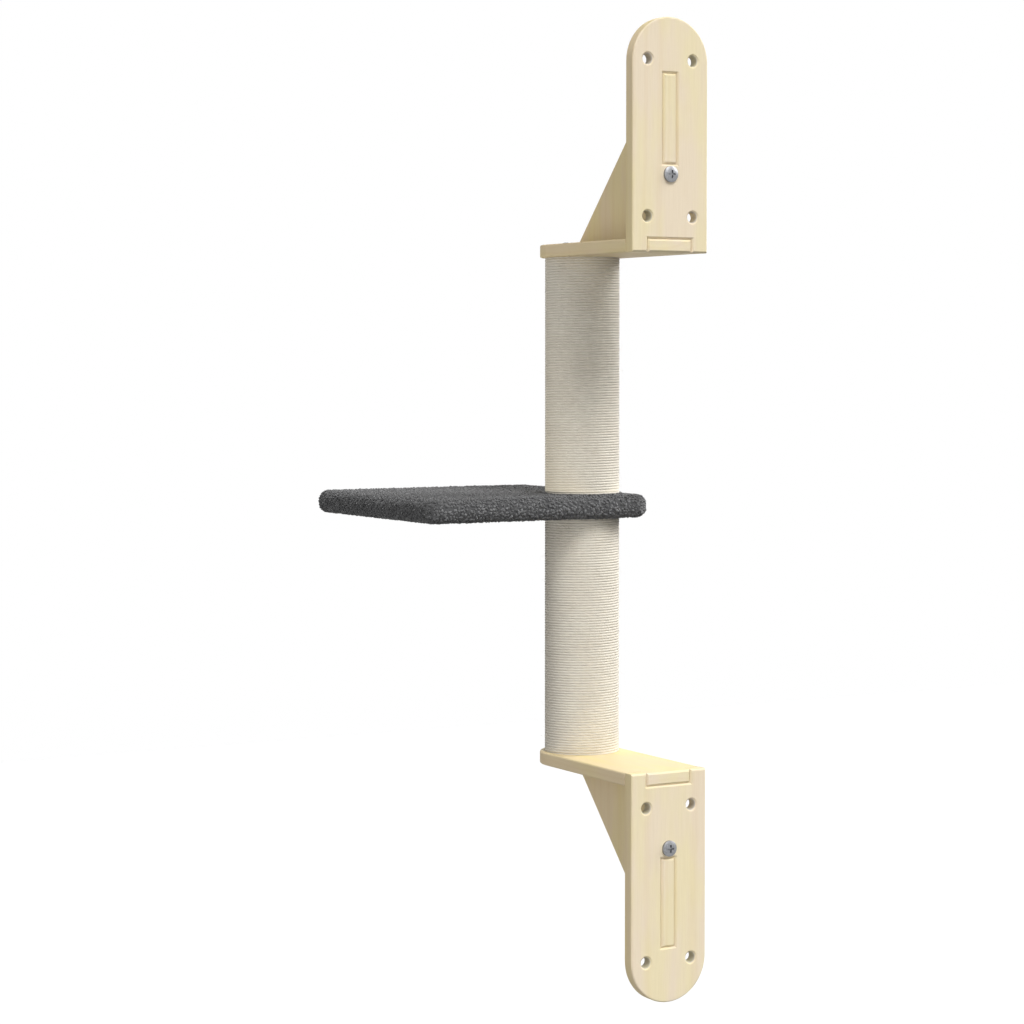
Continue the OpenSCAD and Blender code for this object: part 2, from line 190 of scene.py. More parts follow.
# Platform's backing: it lies under the cover's faces by the pile's height, and its rim is fuller than a half
# circle. The shares are of the face's size, for the rings that close it towards its middle
PLATFORM_CORNER = 20 * MM
RIM_POWER = 2.7
RIM_SAMPLES = 361
RIM_LENGTH_SAMPLES = 60
RIM_INSET = 0.6 * MM
FACE_INSET = 2.2 * MM
BACKING_COLUMNS = 480
BACKING_ROWS = 14
BACKING_RING_SHARES = (0.96, 0.9, 0.8, 0.65, 0.45, 0.25, 0.1, 0.02)
BACKING_TONE = 0.15

# Plush: darker and lighter tones of the backing and of the curls, the tint of its fuzz and how much brighter
# the brightest tone is
BACKING_GREYS = ((0.10, 0.10, 0.101), (0.15, 0.15, 0.151))
CURL_GREYS = ((0.095, 0.095, 0.096), (0.275, 0.275, 0.277))
FUZZ_TINT = (0.62, 0.62, 0.64)
FUZZ_SHARE = 0.8
BRIGHTEST = 1.25

# Curls of the pile, short and thick, in rows. Row shift and jitter are in steps, start and span in half
# turns, height in bends and width in radii
CURL_STEP = 3.6 * MM
ROW_SHIFT = 0.5
CURL_JITTER = 0.42
CURL_RADIUS = 1.75 * MM
CURL_WIDTH = (0.75, 1.1)
CURL_TAPER = 0.45
CURL_BEND = (0.6 * MM, 1.3 * MM)
CURL_HEIGHT = (0.4, 0.85)
CURL_START = (-0.25, 0.15)
CURL_SPAN = (0.65, 1.1)
CURL_LEAN = 0.55
CURL_TWIST = 0.7 * MM
CURL_POINTS = 5
CURL_SIDES = 4

# Curls round the post: how far the face's curls reach under the rope, and a closer ring pressed against it
CURL_OVERLAP = 1.5 * MM
COLLAR_REACH = 1.2 * MM
COLLAR_REACH_SPREAD = (0.7, 1.3)
COLLAR_CROWDING = 1.3
COLLAR_LEAN = 0.35

# Tones of the curls: their base, the spread within a tuft and its shape, and the spread between tufts
TONE_BASE = 0.15
TONE_WITHIN_TUFT = 0.65
TONE_SHAPE = (2.0, 3.0)
TONE_OF_TUFT = 0.20
TUFT_SIZE = 6.0 * MM
TUFTS_PER_WAVE = 1.5
TUFT_WAVES = 24

# Painted shade on the pile: its curls are darker on the top, below and on the photograph's left face (+X),
# whose curls also lie flatter, are thicker by a share and stand deeper
TOP_SHADE = 0.72
UNDER_SHADE = 0.8
LEFT_FACE_SHADE = 1.0
LEFT_FACE_FLATNESS = 0.95
LEFT_FACE_GROWTH = 0.55
LEFT_FACE_DEPTH = 0.3 * MM

# Mesh code: the least length to divide by, how upright a normal is before X helps to turn it, and a shift
# that keeps a curl's hint off its line
TINY = 1e-12
NEARLY_UPRIGHT = 0.9
HINT_SHIFT = 0.01


# Shader helpers


def node_adder(tree):
    """Empties a shader tree and returns a function that adds a node to it."""
    tree.nodes.clear()

    def add(kind, values=(), links=(), **settings):
        """A new node; the values and links go to its inputs, the settings to the node itself."""
        node = tree.nodes.new("ShaderNode" + kind)
        for key, value in settings.items():
            setattr(node, key, value)
        for key, value in dict(values).items():
            node.inputs[key].default_value = value
        for key, source in dict(links).items():
            tree.links.new(source, node.inputs[key])
        return node

    return add


def new_material(name):
    """An empty node material, and a function that adds a node to it."""
    material = bpy.data.materials.new(name)
    material.use_nodes = True
    return material, node_adder(material.node_tree)


def noise(add, place, scale, detail, roughness=0.5):
    """A noise's grey value."""
    values = {"Scale": scale, "Detail": detail, "Roughness": roughness}
    return add("TexNoise", values, {"Vector": place}).outputs["Fac"]


def ramp(add, factor, *stops):
    """The colour that a ramp gives to a grey value; each stop is (place, linear colour)."""
    node = add("ValToRGB", {}, {"Fac": factor})
    elements = node.color_ramp.elements
    while len(elements) < len(stops):
        elements.new(1.0)
    for element, (place, colour) in zip(elements, stops):
        element.position = place
        element.color = (*colour, 1.0)
    return node.outputs[0]


def mix_colours(add, factor, first, second, blend="MIX"):
    """A colour mix; each input is a socket or a plain value."""
    node = add("Mix", data_type="RGBA", blend_type=blend)
    for socket, value in ((node.inputs[0], factor), (node.inputs[6], first), (node.inputs[7], second)):
        if isinstance(value, bpy.types.NodeSocket):
            node.id_data.links.new(value, socket)
        elif isinstance(value, (int, float)):
            socket.default_value = value
        else:
            socket.default_value = (*value, 1.0)
    return node.outputs[2]


def bump(add, height, strength, distance, under=None):
    """The normal of a fine relief, laid over another one where that is given."""
    links = {"Height": height} if under is None else {"Height": height, "Normal": under}
    return add("Bump", {"Strength": strength, "Distance": distance}, links).outputs[0]


def finish_surface(add, values, links):
    """The material's shader and output."""
    shader = add("BsdfPrincipled", values, links)
    add("OutputMaterial", {}, {"Surface": shader.outputs[0]})


# Wood


def stretched_noise(add, grain, scale, stretch, shift, detail):
    """Noise whose cells are longer along the grain; stretch is how many times."""
    place = add("Mapping", {"Scale": (1, 1, 1 / stretch), "Location": (shift, 0, 0)}, {"Vector": grain})
    values = {"Scale": scale, "Detail": detail, "Roughness": 0.55}
    return add("TexNoise", values, {"Vector": place.outputs[0]})


def year_rings(add, grain, from_pith, early, late, noise_place):
    """Early and late wood in rings round the pith, which wander a little along the board."""
    wander = stretched_noise(add, grain, scale=9.0, stretch=6, shift=noise_place, detail=2.0)
    bent = add("VectorMath", {3: RING_WANDER}, {0: wander.outputs["Color"]}, operation="SCALE")
    moved = add("VectorMath", {}, {0: grain, 1: bent.outputs[0]}, operation="ADD")
    centred = add("Mapping", {"Location": from_pith}, {"Vector": moved.outputs[0]})
    rings = add(
        "TexWave",
        {"Scale": 34.0, "Distortion": 0.8, "Detail": 2.0, "Detail Scale": 1.4, "Detail Roughness": 0.6},
        {"Vector": centred.outputs[0]},
        wave_type="RINGS", rings_direction="Z", wave_profile="SIN",
    )
    return ramp(add, rings.outputs["Fac"], (0.0, early), (0.62, early), (0.95, late))


def colour_bands(add, grain, colour, noise_place):
    """Long bands of a warmer and a pinker tone of a colour."""
    warm, pink = (tuple(c * t for c, t in zip(colour, tint)) for tint in (WARM_BAND_TINT, PINK_BAND_TINT))
    bands = stretched_noise(add, grain, scale=30.0, stretch=4, shift=2 * noise_place, detail=2.0)
    return ramp(add, bands.outputs["Fac"], (0.40, warm), (0.60, pink))


def paint_face_shade(add, colour):
    """A board's colour with painted shade on the faces that look sideways and upwards."""
    facing = add("SeparateXYZ", {}, {0: add("TexCoord").outputs["Normal"]})
    wall_side = add("Math", {}, {0: facing.outputs["Y"]}, operation="ABSOLUTE")
    narrow = add("MapRange", {"From Min": 0.75, "From Max": 0.35}, {"Value": wall_side.outputs[0]})
    upwards = add("MapRange", {"From Min": 0.6, "From Max": 0.9}, {"Value": facing.outputs["Z"]})
    # Painted shade on the faces that look sideways and upwards
    tint = mix_colours(add, upwards.outputs[0], SIDE_SHADE_TINT, TOP_SHADE_TINT)
    shaded_colour = mix_colours(add, 1.0, colour, tint, "MULTIPLY")
    return mix_colours(add, narrow.outputs[0], colour, shaded_colour)


def wall_holes(side):
    """A plate's wall holes: one hole's place from their middle, its radius and the middle's height."""
    mount = next(m for m in frame["record"]["mounts"] if m["name"] == f"{side}_wall_bolts")
    sizes = mount["dims"]
    hole_place = (sizes["spacing_x_mm"] / 2 * MM, 0, sizes["spacing_y_mm"] / 2 * MM)
    return hole_place, sizes["hole_r_mm"] * MM, mount["pos_m"][2]


def paint_hole_shade(add, colour, side):
    """A plate's colour with painted shade on the walls of its four wall holes."""
    hole_place, radius, middle_z = wall_holes(side)
    place = add("TexCoord").outputs["Object"]
    from_middle = add("VectorMath", {1: (0, 0, middle_z)}, {0: place}, operation="SUBTRACT")
    folded = add("VectorMath", {}, {0: from_middle.outputs[0]}, operation="ABSOLUTE")
    from_hole = add("VectorMath", {1: hole_place}, {0: folded.outputs[0]}, operation="SUBTRACT")
    flat = add("VectorMath", {1: (1, 0, 1)}, {0: from_hole.outputs[0]}, operation="MULTIPLY")
    reach = add("VectorMath", {}, {0: flat.outputs[0]}, operation="LENGTH")
    inside = add(
        "MapRange", {"From Min": radius + HOLE_SHADE_END, "From Max": radius + HOLE_SHADE_FULL},
        {"Value": reach.outputs["Value"]},
    )
    # Painted shade on the walls of the wall holes
    hole_shaded = mix_colours(add, 1.0, colour, HOLE_SHADE_TINT, "MULTIPLY")
    return mix_colours(add, inside.outputs[0], colour, hole_shaded)


def planed_wood(name, colours, turn, from_pith, noise_place, plate_side=None):
    """Planed wood with rings, bands, fibres and painted shade on side and top faces; plate_side names the
    wall plate, if it is one, whose holes get painted shade.
    """
    material, add = new_material(name)
    early, late = colours
    grain = add("Mapping", {"Rotation": turn}, {"Vector": add("TexCoord").outputs["Object"]}).outputs[0]
    rings = year_rings(add, grain, from_pith, early, late, noise_place)
    toned = mix_colours(add, BAND_SHARE, rings, colour_bands(add, grain, early, noise_place))
    fibres = stretched_noise(add, grain, scale=900.0, stretch=40, shift=0, detail=3.0).outputs["Fac"]
    fibre_tone = ramp(add, fibres, (0.3, DARK_FIBRE_TINT), (0.6, WHITE))
    colour = paint_face_shade(add, mix_colours(add, DARK_FIBRE_SHARE, toned, fibre_tone, "MULTIPLY"))
    if plate_side is not None:
        colour = paint_hole_shade(add, colour, plate_side)
    gloss = add("MapRange", {"To Min": 0.55, "To Max": 0.7}, {"Value": fibres}).outputs[0]
    relief = bump(add, fibres, strength=0.12, distance=0.4 * MM)
    finish_surface(
        add, {"Specular IOR Level": 0.15}, {"Base Color": colour, "Roughness": gloss, "Normal": relief}
    )
    return material


# Other materials


def strand_crowns(add, flat):
    """1 on the crowns of the rope's twisted strands and 0 between them."""
    parts = add("SeparateXYZ", {}, {0: flat})
    along = add("Math", {1: 1 / STRAND_STEP}, {0: parts.outputs[0]}, operation="MULTIPLY")
    around = add("Math", {1: STRAND_STEPS_ROUND}, {0: parts.outputs[1]}, operation="MULTIPLY")
    phase = add("Math", {}, {0: along.outputs[0], 1: around.outputs[0]}, operation="ADD")
    strand = add("Math", {1: 1.0}, {0: phase.outputs[0]}, operation="PINGPONG")
    return add("Math", {1: STRAND_CROWN_POWER}, {0: strand.outputs[0]}, operation="POWER").outputs[0]


def rope_cream():
    """Twisted natural rope: u runs along the rope in metres and v round it."""
    material, add = new_material("rope_cream")
    flat = add("UVMap", uv_map="along_rope").outputs[0]
    crown = strand_crowns(add, flat)
    drawn_out = add("Mapping", {"Scale": YARN_CELLS}, {"Vector": flat}).outputs[0]
    yarn = noise(add, drawn_out, scale=1.0, detail=3.0, roughness=0.7)
    tone = noise(add, add("TexCoord").outputs["Object"], scale=34.0, detail=4.0, roughness=0.6)
    base = ramp(add, tone, (0.3, ROPE_DARK), (0.52, ROPE_MIDDLE), (0.72, ROPE_LIGHT))
    streak = ramp(add, yarn, (0.32, STREAK_TINT), (0.62, WHITE))
    colour = mix_colours(add, STREAK_SHARE, base, streak, "MULTIPLY")
    # Painted shade in the hollows between the strands
    hollow = ramp(add, crown, (0.15, HOLLOW_SHADE_TINT), (0.6, WHITE))
    colour = mix_colours(add, HOLLOW_SHADE_SHARE, colour, hollow, "MULTIPLY")
    coarse = bump(add, crown, strength=0.05, distance=0.3 * MM)
    relief = bump(add, yarn, strength=0.06, distance=0.2 * MM, under=coarse)
    finish_surface(
        add, {"Roughness": 0.85, "Specular IOR Level": 0.15, "Sheen Weight": 0.12, "Sheen Roughness": 0.5},
        {"Base Color": colour, "Normal": relief},
    )
    return material


def fibre_cream():
    """Single fibres that stand off the rope."""
    material, add = new_material("fibre_cream")
    tone = noise(add, add("TexCoord").outputs["Object"], scale=160.0, detail=2.0)
    dark, light = FIBRE_TONES
    colour = ramp(add, tone, (0.35, dark), (0.65, light))
    finish_surface(add, {"Roughness": 0.7, "Specular IOR Level": 0.2}, {"Base Color": colour})
    return material


def plush_grey(name, greys):
    """Curly plush: each curl has its own tone, painted shade included, and fine fibres break up its surface.
    """
    material, add = new_material(name)
    dark, light = greys
    own = add("Attribute", attribute_name="tone").outputs["Fac"]
    tone = ramp(add, own, (0.0, dark), (0.75, light), (1.0, tuple(BRIGHTEST * c for c in light)))
    fuzz = noise(add, add("TexCoord").outputs["Object"], scale=2600.0, detail=3.0, roughness=0.7)
    fuzz_tone = ramp(add, fuzz, (0.3, FUZZ_TINT), (0.65, WHITE))
    colour = mix_colours(add, FUZZ_SHARE, tone, fuzz_tone, "MULTIPLY")
    relief = bump(add, fuzz, strength=0.6, distance=0.3 * MM)
    finish_surface(
        add, {"Roughness": 0.95, "Specular IOR Level": 0.1, "Sheen Weight": 0.35, "Sheen Roughness": 0.45},
        {"Base Color": colour, "Normal": relief},
    )
    return material


def zinc_plate():
    """Zinc-plated steel with a faint mottled tone."""
    material, add = new_material("zinc_plate")
    mottle = noise(add, add("TexCoord").outputs["Object"], scale=700.0, detail=3.0, roughness=0.6)
    dark, light = ZINC
    colour = ramp(add, mottle, (0.3, dark), (0.7, light))
    gloss = add("MapRange", {"To Min": 0.28, "To Max": 0.48}, {"Value": mottle}).outputs[0]
    relief = bump(add, mottle, strength=0.1, distance=0.2 * MM)
    finish_surface(add, {"Metallic": 1.0}, {"Base Color": colour, "Roughness": gloss, "Normal": relief})
    return material


def wound_paper():
    """Grey-brown paper with pulp in mixed tones."""
    material, add = new_material("wound_paper")
    pulp = noise(add, add("TexCoord").outputs["Object"], scale=420.0, detail=4.0, roughness=0.7)
    dark, light = PAPER
    colour = ramp(add, pulp, (0.3, dark), (0.7, light))
    relief = bump(add, pulp, strength=0.2, distance=0.3 * MM)
    finish_surface(
        add, {"Roughness": 0.9, "Specular IOR Level": 0.2}, {"Base Color": colour, "Normal": relief}
    )
    return material


# Mesh helpers


def mesh_object(name, points, faces, material, smooth=True):
    """An object from arrays; all faces have the same number of corners."""
    mesh = bpy.data.meshes.new(name)
    corners = faces.shape[1]
    mesh.vertices.add(len(points))
    mesh.vertices.foreach_set("co", np.ascontiguousarray(points, np.float32).ravel())
    mesh.loops.add(faces.size)
    mesh.loops.foreach_set("vertex_index", np.ascontiguousarray(faces, np.int32).ravel())
    mesh.polygons.add(len(faces))
    mesh.polygons.foreach_set("loop_start", np.arange(0, faces.size, corners, dtype=np.int32))
    mesh.polygons.foreach_set("use_smooth", np.full(len(faces), smooth))
    mesh.update(calc_edges=True)
    mesh.validate()
    mesh.materials.append(material)
    piece = bpy.data.objects.new(name, mesh)
    bpy.context.scene.collection.objects.link(piece)
    return piece


def unit(vectors):
    """The vectors at length 1."""
    return vectors / np.maximum(np.linalg.norm(vectors, axis=-1, keepdims=True), TINY)


def ring_quads(rings, corners):
    """The quads between neighbouring rings of points, for rings that lie one after the other in a list."""
    i, k = np.meshgrid(np.arange(rings - 1), np.arange(corners), indexing="ij")
    a, b = i * corners + k, i * corners + (k + 1) % corners
    return np.stack([a, b, b + corners, a + corners], -1).reshape(-1, 4)


def sweep(paths, radii, sides, hint):
    """Closed tubes of triangles along many paths at once: paths (n, m, 3), radii (n, m), hint (n, 3)."""
    n, m, _ = paths.shape
    ahead = unit(np.gradient(paths, axis=1))
    side = unit(np.cross(ahead, hint[:, None, :]))
    up = np.cross(side, ahead)
    angle = 2 * np.pi * np.arange(sides) / sides
    ring = np.cos(angle)[:, None] * side[:, :, None, :] + np.sin(angle)[:, None] * up[:, :, None, :]
    points = paths[:, :, None, :] + ring * radii[:, :, None, None]
    start = (np.arange(n) * m * sides)[:, None, None]
    row = (np.arange(m - 1) * sides)[None, :, None]
    k = np.arange(sides)[None, None, :]
    a, b = start + row + k, start + row + (k + 1) % sides
    halves = [np.stack([a, b, b + sides], -1), np.stack([a, b + sides, a + sides], -1)]
    walls = np.stack(halves, -2).reshape(-1, 3)
    fan = np.array([[0, i + 1, i] for i in range(1, sides - 1)])
    caps = np.concatenate([start + fan, start + (m - 1) * sides + fan[:, ::-1]], 1).reshape(-1, 3)
    return points.reshape(-1, 3), np.concatenate([walls, caps])


def close_rings(piece, starts, corners):
    """Closes the first and the last ring of a tube with a face each."""
    work = bmesh.new()
    work.from_mesh(piece.data)
    work.verts.ensure_lookup_table()
    for start in starts:
        ring = [work.verts[start + k] for k in range(corners)]
        work.faces.new(ring if start else ring[::-1])
    work.to_mesh(piece.data)
    work.free()


def set_tone(piece, values):
    """Stores one tone for each vertex."""
    tone = piece.data.attributes.new("tone", "FLOAT", "POINT")
    tone.data.foreach_set("value", np.ascontiguousarray(values, np.float32))


# Rope


def section_of(side):
    """Axis, height range and outer radius of one section of the post."""
    low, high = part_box(f"{side}_rope_core")
    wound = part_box(f"{side}_rope_winding")
    radius = (wound[1].x - wound[0].x) / 2
    return ((low.x + high.x) / 2, (low.y + high.y) / 2), (low.z, high.z), radius


def turn_outline(half_height):
    """One turn's cross-section as (outwards, upwards): a bulging face, flat flanks and a flat back."""
    face = [(ROPE_BULGE * (1 - share**2) - ROPE_BULGE, share * half_height) for share in ROPE_FACE_SHARES]
    back = [(-ROPE_DEPTH, share * half_height) for share in ROPE_BACK_SHARES]
    return np.array(face + back)


def lay_along_rope(piece, length):
    """UVs of the winding: metres along the rope at each ring, and the share of the way round it."""
    i, k = np.divmod(np.arange((len(length) - 1) * ROPE_SIDES), ROPE_SIDES)
    u = np.stack([length[i], length[i + 1], length[i + 1], length[i]], -1)
    v = np.stack([k, k, k + 1, k + 1], -1) / ROPE_SIDES
    lay = piece.data.uv_layers.new(name="along_rope")
    lay.data.foreach_set("uv", np.stack([u, v], -1).astype(np.float32).ravel())


def rope_winding(side, material, rng):
    """All the turns of one section as one tube, laid turn against turn, thinned out at both ends."""
    (x, y), (bottom, top), radius = section_of(side)
    pitch = (top - bottom) / ROPE_TURNS
    steps = (ROPE_TURNS + 1) * ROPE_RINGS
    turn = np.linspace(ROPE_END_SHARE, ROPE_TURNS + 1 - ROPE_END_SHARE, steps + 1)
    angle = 2 * np.pi * turn + ROPE_END_ANGLE
    height = bottom + pitch * (turn - 0.5)
    knots = rng.normal(0, ROPE_WANDER, steps // RINGS_PER_WANDER + 2)
    sway = np.interp(np.arange(steps + 1), np.arange(len(knots)) * RINGS_PER_WANDER, knots)
    reach = radius - np.abs(sway)
    out = np.stack([np.cos(angle), np.sin(angle)], -1)
    outline = turn_outline(pitch / 2)
    flat = out[:, None, :] * (reach[:, None] + outline[None, :, 0])[..., None]
    lift = np.clip(height[:, None] + outline[None, :, 1], bottom, top)
    points = np.concatenate([flat + np.array([x, y]), lift[..., None]], -1).reshape(-1, 3)
    faces = ring_quads(steps + 1, ROPE_SIDES)[:, [0, 3, 2, 1]]
    piece = mesh_object(f"{side}_sisal_winding", points, faces, material)
    lay_along_rope(piece, 2 * np.pi * radius * turn)
    close_rings(piece, (0, steps * ROPE_SIDES), ROPE_SIDES)
    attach(piece, "root")
    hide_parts(f"{side}_rope_winding", f"{side}_rope_core")


def keep_on_rope(path, side):
    """Lifts the points of a path out of the rope and keeps them between the section's ends."""
    axis, (bottom, top), radius = section_of(side)
    away = np.linalg.norm(path[..., :2] - axis, axis=-1, keepdims=True)
    path[..., :2] = axis + (path[..., :2] - axis) * np.maximum(1, (radius - FIBRE_SINK) / away)
    path[..., 2] = np.clip(path[..., 2], bottom + FIBRE_EDGE_GAP, top - FIBRE_EDGE_GAP)
    return path


def rope_fibres(side, material, rng):
    """Loose fibres that leave the winding in low arcs and come back near it."""
    (x, y), (bottom, top), radius = section_of(side)
    angle = rng.uniform(0, 2 * np.pi, FIBRES)
    height = rng.uniform(bottom + FIBRE_END_GAP, top - FIBRE_END_GAP, FIBRES)
    length = rng.uniform(*FIBRE_LENGTH, FIBRES) * rng.uniform(*FIBRE_CUT_SHARES, FIBRES)
    flat = np.zeros(FIBRES)
    out = np.stack([np.cos(angle), np.sin(angle), flat], -1)
    round_way = np.stack([-np.sin(angle), np.cos(angle), flat], -1) * rng.choice([-1, 1], FIBRES)[:, None]
    rise = rng.normal(0, FIBRE_SLOPE, FIBRES)[:, None] * np.array([0, 0, 1.0])
    start = np.stack([x + radius * out[:, 0], y + radius * out[:, 1], height], -1) - FIBRE_ROOT_DEPTH * out
    t = np.linspace(0, 1, FIBRE_POINTS)[None, :, None]
    ahead = unit(round_way + rise)[:, None, :] * t * length[:, None, None]
    arc = np.sin(np.pi * t * rng.uniform(*FIBRE_ARC, FIBRES)[:, None, None])
    lift = out[:, None, :] * (rng.uniform(*FIBRE_LIFT_SHARES, FIBRES) * length)[:, None, None] * arc
    curl = rng.normal(0, FIBRE_CURL, (FIBRES, 1, 3)) * np.sin(2 * np.pi * t)
    droop = np.array([0, 0, -FIBRE_DROOP_SHARE]) * t**2 * length[:, None, None]
    path = keep_on_rope(start[:, None, :] + ahead + lift + curl + droop, side)
    radii = FIBRE_RADIUS * np.broadcast_to(1 - FIBRE_TAPER * t[..., 0], (FIBRES, FIBRE_POINTS))
    points, faces = sweep(path, radii, FIBRE_SIDES, out)
    piece = mesh_object(f"{side}_stray_fibres", points, faces, material)
    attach(piece, "root")


# Platform's backing


def platform_sizes():
    """Middle and half sizes of the covered platform."""
    low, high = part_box("platform_cover")
    return (low + high) / 2, (high - low) / 2


def rim_profile(share):
    """Places and normals (outwards, upwards) on the rim's section; share runs from the bottom to the top."""
    _, half = platform_sizes()
    angle = np.linspace(-np.pi / 2, np.pi / 2, RIM_SAMPLES)
    sine = np.sin(angle)
    outwards = (half.z - RIM_INSET) * np.abs(np.cos(angle)) ** (2 / RIM_POWER)
    upwards = (half.z - FACE_INSET) * np.sign(sine) * np.abs(sine) ** (2 / RIM_POWER)
    gone = np.concatenate([[0], np.cumsum(np.hypot(np.diff(outwards), np.diff(upwards)))])
    place = np.stack([np.interp(share * gone[-1], gone, way) for way in (outwards, upwards)], -1)
    along = unit(np.stack([np.gradient(outwards), np.gradient(upwards)], -1))
    tangent = np.stack([np.interp(share * gone[-1], gone, way) for way in along.T], -1)
    return place, unit(np.stack([tangent[:, 1], -tangent[:, 0]], -1))


def rim_stretches():
    """Where the straights and corners begin, in metres round the platform's edge; the last is its length."""
    _, half = platform_sizes()
    flat_x, flat_y = half.x - PLATFORM_CORNER, half.y - PLATFORM_CORNER
    arc = np.pi / 2 * PLATFORM_CORNER
    return np.cumsum([0, *[2 * flat_y, arc, 2 * flat_x, arc] * 2])


def rim_outline(s):
    """Places and normals on the line from which the rim bulges; s is in metres round the platform's edge."""
    _, half = platform_sizes()
    starts = rim_stretches()
    s = np.mod(s, starts[-1])
    place, normal = np.zeros((len(s), 2)), np.zeros((len(s), 2))
    flat_half = np.array([half.x - PLATFORM_CORNER, half.y - PLATFORM_CORNER])
    corners = np.array([(1, -1), (1, 1), (-1, 1), (-1, -1), (1, -1)]) * flat_half
    for part in range(len(starts) - 1):
        inside = (s >= starts[part]) & (s < starts[part + 1])
        gone = s[inside] - starts[part]
        quarter, on_corner = divmod(part, 2)
        heading = np.pi / 2 * quarter
        angle = heading + (gone / PLATFORM_CORNER if on_corner else 0 * gone)
        normal[inside] = np.stack([np.cos(angle), np.sin(angle)], -1)
        ahead = np.array([-np.sin(heading), np.cos(heading)])
        walked = 0 if on_corner else gone[:, None] * ahead
        place[inside] = corners[quarter + on_corner] + (PLATFORM_CORNER - half.z) * normal[inside] + walked
    return place, normal


def rim_points(s, share):
    """Places and normals on the rim, in the frame."""
    middle, _ = platform_sizes()
    base, heading = rim_outline(s)
    offset, slope = rim_profile(share)
    place = np.concatenate([base + heading * offset[:, :1], offset[:, 1:]], -1) + np.array(middle)
    return place, np.concatenate([heading * slope[:, :1], slope[:, 1:]], -1)


def face_rings(edge):
    """Rings that close one face, from the rim's edge towards its middle."""
    middle, _ = platform_sizes()
    centre = np.array([middle.x, middle.y, 0])
    shares = np.array(BACKING_RING_SHARES)[:, None, None]
    return centre + (edge - centre) * np.concatenate([shares, shares, 1 + 0 * shares], -1)


def plush_backing(material):
    """The cover's backing: a slab with round corners and full edges, which stands for the plain cover."""
    s = np.linspace(0, rim_stretches()[-1], BACKING_COLUMNS, endpoint=False)
    shares = np.linspace(0, 1, BACKING_ROWS + 1)
    rim = np.array([rim_points(s, np.full(BACKING_COLUMNS, share))[0] for share in shares])
    rings = np.concatenate([face_rings(rim[0])[::-1], rim, face_rings(rim[-1])])
    faces = ring_quads(len(rings), BACKING_COLUMNS)
    backing = mesh_object("platform_plush_backing", rings.reshape(-1, 3), faces, material)
    close_rings(backing, (0, (len(rings) - 1) * BACKING_COLUMNS), BACKING_COLUMNS)
    set_tone(backing, np.full(len(rings) * BACKING_COLUMNS, BACKING_TONE))
    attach(backing, "root")
    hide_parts("platform_cover")


# Platform's pile


def post_at(up):
    """Axis and outer radius of the post's section above (up = 1) or below (up = -1) the platform."""
    axis, _, radius = section_of("upper" if up > 0 else "lower")
    return np.array(axis), radius


def collar_roots(up, rng):
    """Roots and normals of a ring of curls pressed up against the end of the rope."""
    middle, half = platform_sizes()
    (x, y), radius = post_at(up)
    count = int(2 * np.pi * radius / CURL_STEP * COLLAR_CROWDING)
    angle = 2 * np.pi * (np.arange(count) + rng.uniform(-CURL_JITTER, CURL_JITTER, count)) / count
    out = np.stack([np.cos(angle), np.sin(angle), 0 * angle], -1)
    reach = radius + COLLAR_REACH * rng.uniform(*COLLAR_REACH_SPREAD, (count, 1))
    foot = np.array([x, y, middle.z + up * (half.z - FACE_INSET + COLLAR_REACH)])
    return foot + out * reach, unit(out * COLLAR_LEAN + np.array([0, 0, float(up)]))


def face_roots(up, rng):
    """Jittered roots and normals of curls on the top (up = 1) or the bottom (up = -1), with their collar."""
    middle, half = platform_sizes()
    inner = np.array([half.x - half.z, half.y - half.z])
    counts = (2 * inner / CURL_STEP).astype(int)
    gx, gy = np.meshgrid(np.arange(counts[0]), np.arange(counts[1]), indexing="ij")
    grid = np.stack([gx + ROW_SHIFT / 2 + ROW_SHIFT * (gy % 2), gy + 0.5], -1).reshape(-1, 2)
    jitter = rng.uniform(-CURL_JITTER, CURL_JITTER, (gx.size, 2))
    flat = grid * 2 * inner / counts - inner + jitter * CURL_STEP
    corner = PLATFORM_CORNER - half.z
    past_corner = np.linalg.norm(np.maximum(abs(flat) - (inner - corner), 0), axis=1)
    axis, radius = post_at(up)
    from_post = np.linalg.norm(flat + (np.array([middle.x, middle.y]) - axis), axis=1)
    flat = flat[(past_corner < corner) & (from_post > radius - CURL_OVERLAP)]
    lift = np.full((len(flat), 1), up * (half.z - FACE_INSET))
    roots = np.concatenate([flat, lift], -1) + np.array(middle)
    normals = np.broadcast_to([0, 0, float(up)], roots.shape)
    collar, slope = collar_roots(up, rng)
    return np.concatenate([roots, collar]), np.concatenate([normals, slope])


def rim_roots(rng):
    """Jittered roots and normals of curls on the rim."""
    length = rim_stretches()[-1]
    offset, _ = rim_profile(np.linspace(0, 1, RIM_LENGTH_SAMPLES))
    height = np.linalg.norm(np.diff(offset, axis=0), axis=1).sum()
    rows, columns = int(height / CURL_STEP), int(length / CURL_STEP)
    gs, gt = (g.ravel() for g in np.meshgrid(np.arange(columns), np.arange(rows), indexing="ij"))
    s = (gs + ROW_SHIFT * (gt % 2) + rng.uniform(-CURL_JITTER, CURL_JITTER, gs.size)) * length / columns
    share = (gt + 0.5 + rng.uniform(-CURL_JITTER, CURL_JITTER, gs.size)) / rows
    return rim_points(s, share)


